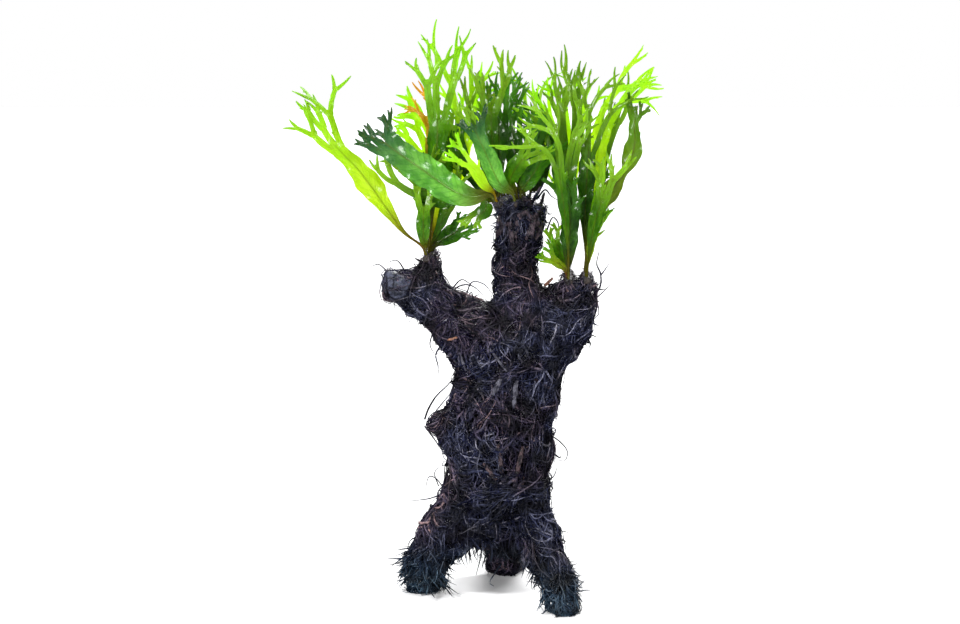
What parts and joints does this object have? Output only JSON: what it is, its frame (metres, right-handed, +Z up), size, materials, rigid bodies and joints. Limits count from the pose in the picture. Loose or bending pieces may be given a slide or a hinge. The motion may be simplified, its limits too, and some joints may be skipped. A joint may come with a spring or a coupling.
{
  "type": "crested java fern on driftwood",
  "caption": "Crested java fern growing on an upright forked piece of driftwood that is matted all over with dark roots and stands on three splayed legs",
  "frame": {"origin": "on the floor, under the middle of the plant's bounding box", "axes": "+Z up along the trunk, +X to the right seen from the front, +Y towards the back, where the rear leg stands"},
  "size_m": [0.184, 0.0832, 0.2887],
  "materials": {
    "root_mat": "near-black matted roots over waterlogged wood, wet satin",
    "rhizome_skin": "dark brown scaly creeping stem, satin",
    "leaf_pale": "wet glossy yellow-green leaf, translucent",
    "leaf_mid": "wet glossy mid-green leaf, translucent",
    "leaf_dark": "wet glossy dark green leaf with a silvery sheen",
    "leaf_decayed": "orange-brown dying leaf, satin"
  },
  "bodies": {
    "root": {"trunk": "root_mat", "arm_left": "root_mat", "arm_left_stub": "root_mat", "branch_middle": "root_mat", "branch_right": "root_mat", "leg_left": "root_mat", "leg_right": "root_mat", "leg_rear": "root_mat", "root_tuft": "root_mat", "rhizome_left": "rhizome_skin", "rhizome_middle": "rhizome_skin", "rhizome_middle_side": "rhizome_skin", "rhizome_right": "rhizome_skin", "rhizome_right_side": "rhizome_skin", "leaf_left_01": "leaf_pale", "leaf_left_02": "leaf_mid", "leaf_left_03": "leaf_pale", "leaf_left_04": "leaf_mid", "leaf_left_05": "leaf_pale", "leaf_left_06": "leaf_dark", "leaf_left_07": "leaf_decayed", "leaf_left_08": "leaf_mid", "leaf_left_09": "leaf_mid", "leaf_middle_01": "leaf_dark", "leaf_middle_02": "leaf_mid", "leaf_middle_03": "leaf_pale", "leaf_middle_04": "leaf_dark", "leaf_middle_05": "leaf_mid", "leaf_middle_06": "leaf_mid", "leaf_middle_07": "leaf_dark", "leaf_middle_08": "leaf_dark", "leaf_middle_09": "leaf_mid", "leaf_middle_10": "leaf_mid", "leaf_middle_11": "leaf_dark", "leaf_middle_12": "leaf_dark", "leaf_right_01": "leaf_mid", "leaf_right_02": "leaf_pale", "leaf_right_03": "leaf_mid", "leaf_right_04": "leaf_mid", "leaf_right_05": "leaf_mid", "leaf_right_06": "leaf_mid", "leaf_right_07": "leaf_mid", "leaf_right_08": "leaf_dark", "leaf_right_09": "leaf_mid", "leaf_right_10": "leaf_pale", "leaf_right_11": "leaf_pale", "leaf_right_12": "leaf_mid", "leaf_right_13": "leaf_dark", "leaf_right_14": "leaf_pale", "leaf_right_15": "leaf_pale", "leaf_right_16": "leaf_pale"}
  },
  "joints": []
}
